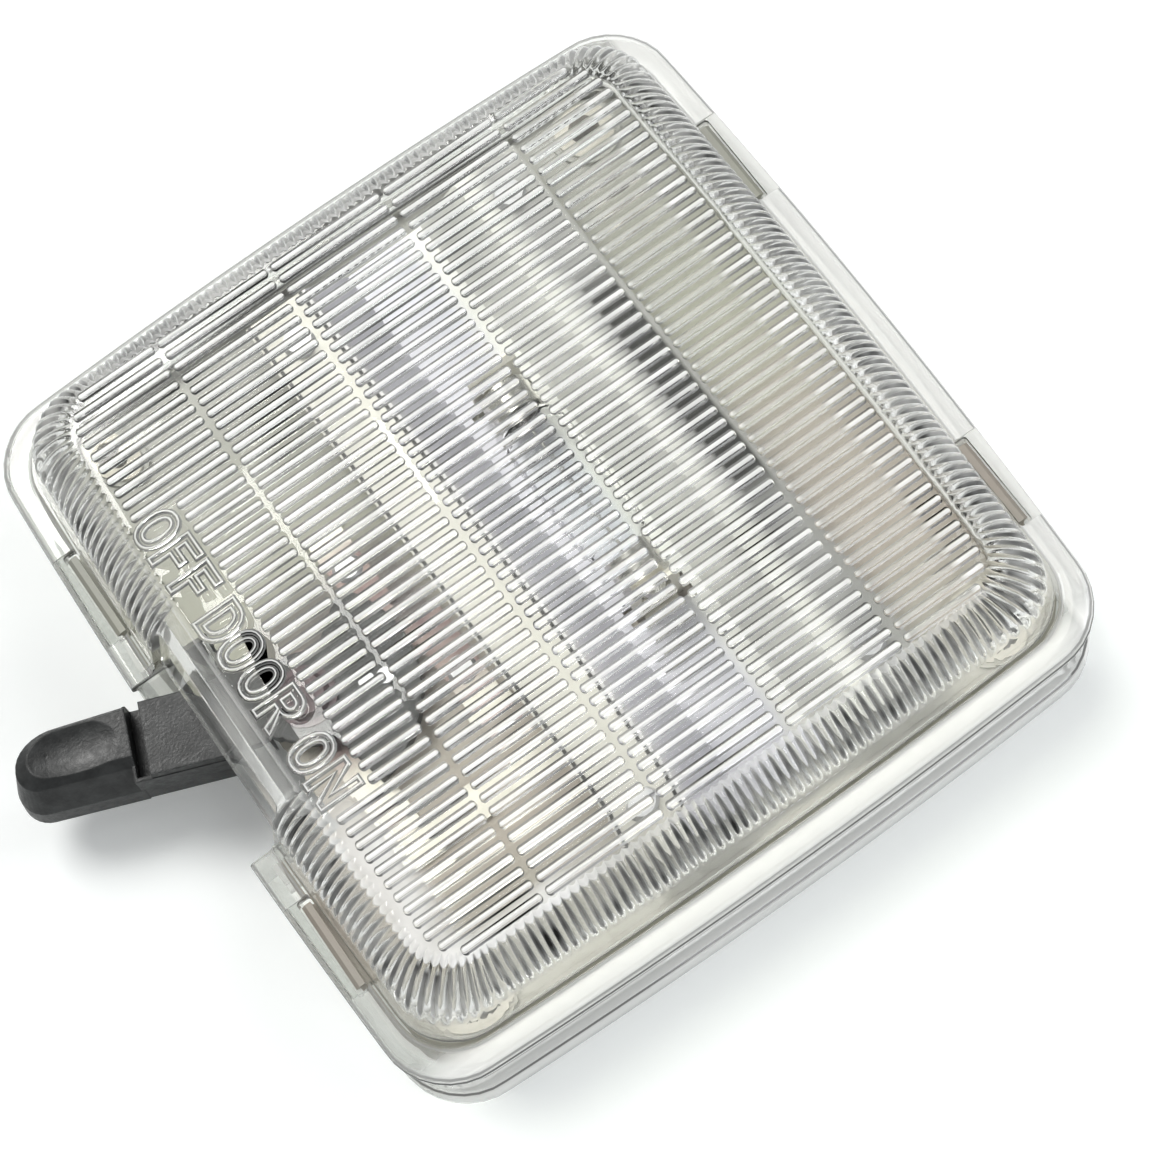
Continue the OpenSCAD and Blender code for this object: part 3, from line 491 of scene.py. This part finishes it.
class Tree:
    """The nodes of a new material or world. Values can be sockets or, where said, fixed."""

    def __init__(self, owner):
        owner.use_nodes = True
        self.owner = owner
        self.nodes = owner.node_tree.nodes
        self.links = owner.node_tree.links
        self.nodes.clear()

    def new(self, kind):
        return self.nodes.new(kind)

    def link(self, source, target):
        self.links.new(source, target)

    def end(self, surface, kind="ShaderNodeOutputMaterial"):
        out = self.new(kind)
        self.link(surface, out.inputs["Surface"])
        return self.owner

    def coords(self):
        return self.new("ShaderNodeTexCoord").outputs["Object"]

    def split(self, vector):
        node = self.new("ShaderNodeSeparateXYZ")
        self.link(vector, node.inputs["Vector"])
        return node.outputs

    def noise(self, coords, scale, detail=4.0):
        node = self.new("ShaderNodeTexNoise")
        node.inputs["Scale"].default_value = scale
        node.inputs["Detail"].default_value = detail
        node.inputs["Roughness"].default_value = 0.55
        self.link(coords, node.inputs["Vector"])
        return node.outputs["Fac"]

    def ramp(self, source, stops):
        node = self.new("ShaderNodeValToRGB")
        elements = node.color_ramp.elements
        while len(elements) < len(stops):
            elements.new(0.5)
        for element, (position, color) in zip(elements, stops):
            element.position = position
            element.color = (*color, 1)
        self.link(source, node.inputs["Fac"])
        return node.outputs["Color"]

    def mapped(self, value, from_low, from_high, to_low=0.0, to_high=1.0):
        node = self.new("ShaderNodeMapRange")
        node.inputs["From Min"].default_value = from_low
        node.inputs["From Max"].default_value = from_high
        node.inputs["To Min"].default_value = to_low
        node.inputs["To Max"].default_value = to_high
        self.link(value, node.inputs["Value"])
        return node.outputs["Result"]

    def spread(self, noise, low, high):
        """A noise stretched over the values from low to high."""
        return self.mapped(noise, NOISE_LOW, NOISE_HIGH, low, high)

    def compute(self, operation, *values, clamp=False):
        """A sum or product of sockets and fixed numbers."""
        node = self.new("ShaderNodeMath")
        node.operation = operation
        node.use_clamp = clamp
        for socket, value in zip(node.inputs, values):
            if isinstance(value, float):
                socket.default_value = value
            else:
                self.link(value, socket)
        return node.outputs[0]

    def scaled(self, value, amount):
        return self.compute("MULTIPLY", value, amount)

    def total(self, values):
        """The sum of the values, never over 1."""
        result = values[0]
        for value in values[1:]:
            result = self.compute("ADD", result, value, clamp=True)
        return result

    def between(self, value, low, high, soft):
        """1 where the value lies between low and high, with soft edges, and 0 elsewhere."""
        return self.scaled(self.mapped(value, low - soft, low + soft),
                           self.mapped(value, high + soft, high - soft))

    def between_mm(self, value, low, high, soft):
        """The same for a length, with the limits in millimetres."""
        return self.between(value, low * MM, high * MM, soft * MM)

    def patch(self, xyz, x_range, y_range, soft_x, soft_y):
        """1 in a rectangle seen from above, in millimetres, and 0 elsewhere."""
        return self.scaled(self.between_mm(xyz["X"], *x_range, soft_x),
                           self.between_mm(xyz["Y"], *y_range, soft_y))

    def mixed(self, amount, first, second, blend="MIX"):
        """A colour between first and second; each colour, and the amount, can be fixed."""
        node = self.new("ShaderNodeMix")
        node.data_type = "RGBA"
        node.blend_type = blend
        for socket, value in ((node.inputs["Factor"], amount), (node.inputs[6], first),
                              (node.inputs[7], second)):
            if isinstance(value, tuple):
                socket.default_value = (*value, 1)
            elif isinstance(value, float):
                socket.default_value = value
            else:
                self.link(value, socket)
        return node.outputs[2]

    def shader(self, color, rough, metallic=0.0):
        node = self.new("ShaderNodeBsdfPrincipled")
        node.inputs["Metallic"].default_value = metallic
        self.link(color, node.inputs["Base Color"])
        self.link(rough, node.inputs["Roughness"])
        return node

    def vector(self, operation, first, second=None):
        node = self.new("ShaderNodeVectorMath")
        node.operation = operation
        self.link(first, node.inputs[0])
        if isinstance(second, tuple):
            node.inputs[1].default_value = second
        elif second:
            self.link(second, node.inputs[1])
        return node.outputs[0]


def material_tree(name):
    return Tree(bpy.data.materials.new(name))


def solid(name, stops, scale, rough, metallic=0.0, grain=1500.0, bump_strength=0.15, edge=0.0):
    """Plastic or metal: mottled, a little uneven and grained; edge rounds its edges, in mm."""
    tree = material_tree(name)
    coords = tree.coords()
    color = tree.ramp(tree.noise(coords, scale), stops)
    unevenness = tree.spread(tree.noise(coords, scale * 2.3), *rough)
    shader = tree.shader(color, unevenness, metallic)
    bump = tree.new("ShaderNodeBump")
    bump.inputs["Strength"].default_value = bump_strength
    bump.inputs["Distance"].default_value = GRAIN_DEPTH
    tree.link(tree.noise(coords, grain, 3.0), bump.inputs["Height"])
    if edge:
        soft_edge = tree.new("ShaderNodeBevel")
        soft_edge.samples = 4
        soft_edge.inputs["Radius"].default_value = edge * MM
        tree.link(soft_edge.outputs["Normal"], bump.inputs["Normal"])
    tree.link(bump.outputs["Normal"], shader.inputs["Normal"])
    return tree.end(shader.outputs["BSDF"])


def base_material():
    """Pale moulded plastic, yellowed, pinker towards the near side; painted shade with a brown
    stain under the switch.
    """
    tree = material_tree("base_plastic")
    coords = tree.coords()
    xyz = tree.split(coords)
    waver = 0.006
    wavering = tree.compute("MULTIPLY_ADD", tree.noise(coords, 60, 1.0), waver, xyz["Y"])
    along = tree.mapped(wavering, -50 * MM + waver / 2, 50 * MM + waver / 2)
    tint = tree.ramp(along, [
        (0.08, (0.35, 0.34, 0.30)), (0.22, (0.37, 0.33, 0.29)), (0.42, (0.36, 0.33, 0.29)),
        (0.6, (0.34, 0.34, 0.28)), (0.78, (0.33, 0.33, 0.29)), (0.95, (0.32, 0.32, 0.30))])
    cloud = tree.noise(coords, 75, 3.0)
    shade = tree.ramp(cloud, [(0.3, (0.86, 0.86, 0.84)), (0.7, (1.0, 1.0, 1.0))])
    color = tree.mixed(1.0, tint, shade, "MULTIPLY")
    # A dark brown patch under the switch: painted shade, partly a brown stain
    switch_shade_and_stain = tree.patch(xyz, (-37, -15), (-10, 13), 1.5, 2.5)
    switch_shade_and_stain = tree.scaled(switch_shade_and_stain, tree.spread(cloud, 0.95, 0.45))
    color = tree.mixed(switch_shade_and_stain, color, (0.05, 0.034, 0.038))
    return tree.end(tree.shader(color, tree.spread(cloud, 0.38, 0.52)).outputs["BSDF"])


def strip_material():
    """Stamped brass: pale by the bulb, browned in the switch."""
    tree = material_tree("strip_brass")
    coords = tree.coords()
    switch = tree.patch(tree.split(coords), (-60, -14), (-11, 14), 1, 2)
    cloud = tree.noise(coords, 240)
    brown = tree.ramp(cloud, [(0.3, (0.13, 0.085, 0.085)), (0.7, (0.3, 0.24, 0.22))])
    pale = tree.ramp(cloud, [(0.3, (0.58, 0.56, 0.5)), (0.7, (0.68, 0.66, 0.6))])
    color = tree.mixed(switch, pale, brown)
    return tree.end(tree.shader(color, tree.spread(cloud, 0.35, 0.52), 0.45).outputs["BSDF"])


def reflector_material():
    """Bright sheet: cream lips, a bluer well, painted shade along the creases, a painted dark
    reflection band, smudges drawn along it.
    """
    tree = material_tree("reflector_sheet")
    coords = tree.coords()
    xyz = tree.split(coords)
    drawn = tree.new("ShaderNodeMapping")
    drawn.inputs["Scale"].default_value = (1, 0.15, 1)
    tree.link(coords, drawn.inputs["Vector"])
    # The last two stops darken the right lip's outer part: painted dark reflection
    tint = tree.ramp(tree.mapped(xyz["X"], -14 * MM, 28 * MM), [
        (0.0, (0.5, 0.49, 0.45)), (0.19, (0.54, 0.53, 0.49)), (0.24, (0.59, 0.58, 0.63)),
        (0.55, (0.59, 0.59, 0.64)), (0.6, (0.74, 0.74, 0.7)), (0.82, (0.7, 0.7, 0.66)),
        (0.88, (0.36, 0.36, 0.35)), (1.0, (0.4, 0.4, 0.38))])
    cloud = tree.noise(drawn.outputs["Vector"], 90, 3.0)
    shade = tree.ramp(cloud, [(0.3, (0.72, 0.72, 0.74)), (0.65, (1.0, 1.0, 1.0))])
    color = tree.mixed(1.0, tint, shade, "MULTIPLY")
    # A painted dark reflection across the right lip's outer part
    dark_reflection_band = tree.patch(xyz, (23.1, 27.2), (-14, 22), 0.3, 3)
    color = tree.mixed(dark_reflection_band, color, (0.03, 0.03, 0.028))
    # Dark lines along the creases: painted shade
    for crease in (-13.5, -5.5):
        line = tree.between_mm(xyz["X"], crease - 0.25, crease + 0.25, 0.08)
        color = tree.mixed(line, color, (0.05, 0.05, 0.05))
    return tree.end(tree.shader(color, tree.spread(cloud, 0.34, 0.5), 0.4).outputs["BSDF"])


def end_clear(tree, color, cloud, ior, clearness, shadow):
    """Ends a clear material: shadow rays pass through it, tinted by the shadow colour."""
    shader = tree.shader(color, tree.spread(cloud, 0.01, 0.05))
    shader.inputs["IOR"].default_value = ior
    if isinstance(clearness, float):
        shader.inputs["Transmission Weight"].default_value = clearness
    else:
        tree.link(clearness, shader.inputs["Transmission Weight"])
    through = tree.new("ShaderNodeBsdfTransparent")
    through.inputs["Color"].default_value = (*shadow, 1)
    path = tree.new("ShaderNodeLightPath")
    mix = tree.new("ShaderNodeMixShader")
    tree.link(path.outputs["Is Shadow Ray"], mix.inputs["Fac"])
    tree.link(shader.outputs["BSDF"], mix.inputs[1])
    tree.link(through.outputs["BSDF"], mix.inputs[2])
    return tree.end(mix.outputs["Shader"])


def bulb_material():
    tree = material_tree("bulb_clear")
    tint = (0.99, 0.995, 0.995)
    cloud = tree.noise(tree.coords(), 40, 1.0)
    color = tree.ramp(cloud, [(0.3, tint), (0.7, tuple(c * 0.985 for c in tint))])
    return end_clear(tree, color, cloud, 1.45, 1.0, (0.92, 0.93, 0.93))


# Distance from the flange's edge to a rectangle that lies wholly inside the crown
INNER_IN = 13


def wall_parts(tree, texture):
    """How far a point lies out from the inner rectangle, and how much it faces along its wall."""
    inner = ((HALF_W - INNER_IN) * MM, (HALF_L - INNER_IN) * MM, 1.0)
    point = texture.outputs["Object"]
    over = tree.vector("SUBTRACT", tree.vector("ABSOLUTE", point), inner)
    over = tree.vector("MAXIMUM", over, (0.0, 0.0, 0.0))
    out = tree.vector("MULTIPLY", over, tree.vector("SIGN", point))
    length = tree.new("ShaderNodeVectorMath")
    length.operation = "LENGTH"
    tree.link(out, length.inputs[0])
    turned = tree.vector("CROSS_PRODUCT", tree.vector("NORMALIZE", out), texture.outputs["Normal"])
    return length.outputs["Value"], tree.split(tree.vector("ABSOLUTE", turned))["Z"]


# Limits that lie outside the lamp, for places that reach to its edge
LOW_OUT, HIGH_OUT, UNDER = -70, 70, -1


def lens_material():
    """Clear plastic with painted highlights and light in white, a milky veil, and painted shade, by
    height, wall and place.
    """
    tree = material_tree("lens_clear")
    texture = tree.new("ShaderNodeTexCoord")
    coords = texture.outputs["Object"]
    xyz = tree.split(coords)
    broad = tree.noise(coords, 80, 1.0)
    fine = tree.noise(coords, 180, 1.0)

    def zone(low, high, soft, amount):
        return tree.scaled(tree.between_mm(xyz["Z"], low, high, soft), amount)

    away, along = wall_parts(tree, texture)
    on_wall = tree.between_mm(away, 2.6, 20, 0.4)
    right_field = tree.between_mm(xyz["X"], 25.8, 35.5, 0.6)
    right_edge = tree.between_mm(xyz["X"], HALF_W - 5.5, HIGH_OUT, 0.5)
    near = tree.between_mm(xyz["Y"], LOW_OUT, -(HALF_L - 5), 1.5)
    fade = tree.mapped(right_field, 0.0, 1.0, 1.0, 0.4)

    # Painted highlights and painted light, in white: the top ribs' crests, the shoulder's edge,
    # flange, skirt, right edge, near side and the near left corner
    crest = zone(CROWN_Z + 0.34, DOME_Z + 1, 0.03, tree.spread(fine, 0.65, 1.0))
    # A painted highlight along the crown's edge at the near left corner
    corner_highlight = tree.total([tree.patch(xyz, (LOW_OUT, -35.5), (LOW_OUT, -20), 1.5, 4),
                        tree.patch(xyz, (LOW_OUT, -18), (LOW_OUT, -41), 5, 0.8)])
    corner_highlight = tree.scaled(corner_highlight, tree.spread(fine, 0.45, 0.8))
    white = tree.total([
        tree.scaled(crest, fade),
        zone(CROWN_Z - 0.4, CROWN_Z - 0.02, 0.01, tree.scaled(on_wall, 0.3)),
        zone(FLANGE_Z - 0.25, FLANGE_Z + 0.5, 0.1, 0.14),
        zone(UNDER, FLANGE_Z + 0.5, 0.1, tree.scaled(right_edge, 0.4)),
        zone(UNDER, FLANGE_LOW - 0.3, 0.2, 0.22),
        zone(UNDER, FLANGE_Z + 0.5, 0.2, tree.scaled(near, 0.5)),
        zone(CROWN_Z - 0.5, CROWN_Z + 0.3, 0.05, corner_highlight),
    ])

    # A thin beige veil in the ribbed wall
    veil = tree.scaled(on_wall, tree.spread(broad, 0.02, 0.22))
    beige = zone(BAND_Z + 0.6, CROWN_Z - 0.5, 0.3, veil)

    # Painted shade and dark refractions: the top ribs' feet, the edges of flange and skirt, the
    # valleys between the wall's ribs
    foot_shade = tree.scaled(tree.spread(broad, 0.5, 1.0), fade)
    valley_shade = tree.scaled(on_wall, tree.spread(fine, 0.45, 1.0))
    valley_shade = tree.scaled(tree.between(along, 0.52, 2.0, 0.05), valley_shade)
    dark = tree.total([
        zone(CROWN_Z + 0.02, CROWN_Z + 0.16, 0.01, foot_shade),
        zone(FLANGE_Z - 1.05, FLANGE_Z - 0.5, 0.04, 0.9),
        zone(FLANGE_Z - 0.35, FLANGE_Z - 0.16, 0.02, 0.6),
        zone(FLANGE_Z + 0.1, FLANGE_Z + 0.25, 0.03, 0.4),
        zone(FLANGE_LOW - 3.2, FLANGE_LOW - 2.7, 0.05, tree.scaled(near, 0.6)),
        zone(BEAD_H + 0.1, BEAD_H + 0.25, 0.03, 0.8),
        zone(BAND_Z + 0.5, CROWN_Z - 0.3, 0.3, valley_shade),
    ])

    clearness = tree.compute("SUBTRACT", 1.0, tree.total([white, beige, dark]))
    color = tree.mixed(white, (0.98, 0.985, 0.97), (1.0, 1.0, 0.98))
    color = tree.mixed(beige, color, (0.5, 0.49, 0.43))
    color = tree.mixed(dark, color, (0.016, 0.016, 0.014))
    return end_clear(tree, color, broad, 1.5, clearness, (0.93, 0.935, 0.92))


def dress(obj, mat):
    if obj.data.materials:
        for k in range(len(obj.data.materials)):
            obj.data.materials[k] = mat
    else:
        obj.data.materials.append(mat)


def place(piece, body, slot, *replaced):
    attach(piece, body)
    if replaced:
        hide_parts(*replaced)


lens_mat = lens_material()
glass_mat = bulb_material()
base_mat = base_material()
reflector_mat = reflector_material()
strip_mat = strip_material()
cap_mat = solid("cap_plated", [(0.3, (0.62, 0.61, 0.58)), (0.7, (0.75, 0.74, 0.7))],
                300, (0.18, 0.3), metallic=1.0)
wire_mat = solid("wire_drawn", [(0.3, (0.36, 0.35, 0.34)), (0.7, (0.5, 0.49, 0.47))],
                 900, (0.3, 0.45), metallic=1.0)
eyelet_mat = solid("eyelet_dull", [(0.3, (0.40, 0.38, 0.33)), (0.7, (0.46, 0.44, 0.39))],
                   220, (0.45, 0.6), metallic=0.2)
fastener_mat = solid("fastener_zinc", [(0.3, (0.5, 0.5, 0.52)), (0.7, (0.6, 0.6, 0.62))],
                     400, (0.35, 0.5), metallic=0.6)
pin_mat = solid("pin_browned", [(0.3, (0.05, 0.035, 0.04)), (0.7, (0.12, 0.09, 0.095))],
                400, (0.45, 0.6), metallic=0.4)
lever_mat = solid("lever_plastic", [(0.35, (0.008, 0.009, 0.009)), (0.65, (0.028, 0.03, 0.03))],
                  420, (0.3, 0.5), grain=2600, bump_strength=0.4, edge=0.35)

for name, mat in (
    ("base", base_mat), ("reflector", reflector_mat), ("reflector_screws", fastener_mat),
    ("bulb_glass", glass_mat), ("bulb_cap_front", cap_mat), ("bulb_cap_rear", cap_mat),
    ("filament", wire_mat), ("lead_wires", wire_mat), ("screw_eyelets", eyelet_mat),
    ("front_clip", strip_mat), ("rear_clip", strip_mat), ("door_contact", strip_mat),
    ("ground_contact", strip_mat), ("contact_rivets", fastener_mat), ("pivot_pin", pin_mat),
    ("pivot_washer", pin_mat), ("switch_lever", lever_mat), ("wiper", strip_mat),
    ("wiper_rivets", fastener_mat), ("lens", lens_mat),
):
    dress(nodes[name], mat)

lens = make_lens()
dress(lens, lens_mat)
place(lens, "housing", "lens", "lens")
coil = make_coil()
dress(coil, wire_mat)
place(coil, "housing", "wire", "filament")


# Floor, lights and camera

FLOOR_HALF = 3000
FLOOR_GLOW = 0.14
ROOM_LIGHT = 0.32


def make_floor():
    corners = [(-FLOOR_HALF, -FLOOR_HALF, 0), (FLOOR_HALF, -FLOOR_HALF, 0),
               (FLOOR_HALF, FLOOR_HALF, 0), (-FLOOR_HALF, FLOOR_HALF, 0)]
    floor = mesh_object("floor", corners, [(0, 1, 2, 3)])
    tree = material_tree("floor_white")
    paint = tree.new("ShaderNodeBsdfDiffuse")
    paint.inputs["Color"].default_value = (0.9, 0.92, 0.915, 1)
    glow = tree.new("ShaderNodeEmission")
    glow.inputs["Color"].default_value = (0.98, 1.0, 1.0, 1)
    path = tree.new("ShaderNodeLightPath")
    tree.link(tree.scaled(path.outputs["Is Camera Ray"], FLOOR_GLOW), glow.inputs["Strength"])
    add = tree.new("ShaderNodeAddShader")
    tree.link(paint.outputs["BSDF"], add.inputs[0])
    tree.link(glow.outputs["Emission"], add.inputs[1])
    dress(floor, tree.end(add.outputs["Shader"]))


def area_light(name, at, size, power, color):
    """A rectangular lamp at a point in metres, aimed at the middle of the dome light."""
    data = bpy.data.lights.new(name, "AREA")
    data.shape = "RECTANGLE"
    data.size, data.size_y = size
    data.energy = power
    data.color = color
    obj = bpy.data.objects.new(name, data)
    bpy.context.scene.collection.objects.link(obj)
    obj.location = at
    aim = Vector((0, 0, 0.01))
    obj.rotation_euler = (aim - Vector(at)).to_track_quat("-Z", "Y").to_euler()


def make_world():
    """Plain white where the camera sees it, and soft light from all sides."""
    world = bpy.data.worlds.new("studio")
    tree = Tree(world)
    path = tree.new("ShaderNodeLightPath")
    seen = tree.new("ShaderNodeBackground")
    seen.inputs["Color"].default_value = (1, 1, 1, 1)
    around = tree.new("ShaderNodeBackground")
    around.inputs["Color"].default_value = (0.97, 0.985, 1.0, 1)
    around.inputs["Strength"].default_value = ROOM_LIGHT
    mix = tree.new("ShaderNodeMixShader")
    tree.link(path.outputs["Is Camera Ray"], mix.inputs["Fac"])
    tree.link(around.outputs["Background"], mix.inputs[1])
    tree.link(seen.outputs["Background"], mix.inputs[2])
    tree.end(mix.outputs["Shader"], "ShaderNodeOutputWorld")
    bpy.context.scene.world = world


# The camera that was fitted to the photo: angles in degrees, lengths in millimetres
AZIMUTH, ELEVATION, ROLL = -15.79, 69.93, -19.96
TARGET, DISTANCE = (1.13, -10.07, FLANGE_Z), 379.75
FOCAL_PX, PHOTO_PX, SENSOR = 3134.74, 1172, 36


def make_camera():
    azimuth, elevation = math.radians(AZIMUTH), math.radians(ELEVATION)
    roll = math.radians(ROLL)
    target = Vector(TARGET) * MM
    level = math.cos(elevation)
    back = Vector((math.sin(azimuth) * level, -math.cos(azimuth) * level, math.sin(elevation)))
    right = (-back).cross(Vector((0, 0, 1))).normalized()
    up = right.cross(-back)
    across = math.cos(roll) * right + math.sin(roll) * up
    upward = -math.sin(roll) * right + math.cos(roll) * up
    data = bpy.data.cameras.new("photo_camera")
    data.sensor_width = SENSOR
    data.lens = FOCAL_PX / PHOTO_PX * SENSOR
    data.clip_start, data.clip_end = 0.01, 50
    obj = bpy.data.objects.new("photo_camera", data)
    bpy.context.scene.collection.objects.link(obj)
    turn = Matrix((across, upward, back)).transposed().to_4x4()
    obj.matrix_world = Matrix.Translation(target + back * DISTANCE * MM) @ turn
    bpy.context.scene.camera = obj


make_floor()
make_world()
area_light("key_window", (-0.3, 1.1, 1.5), (1.0, 0.7), 24.0, (1.0, 0.99, 0.97))
area_light("fill_side", (1.2, -0.2, 1.1), (0.8, 0.8), 5.5, (0.97, 0.98, 1.0))
area_light("fill_near", (0.4, -1.4, 0.8), (0.8, 0.5), 6.0, (0.97, 0.98, 1.0))
make_camera()
bpy.context.scene.view_settings.view_transform = "Standard"

bpy.context.view_layer.update()
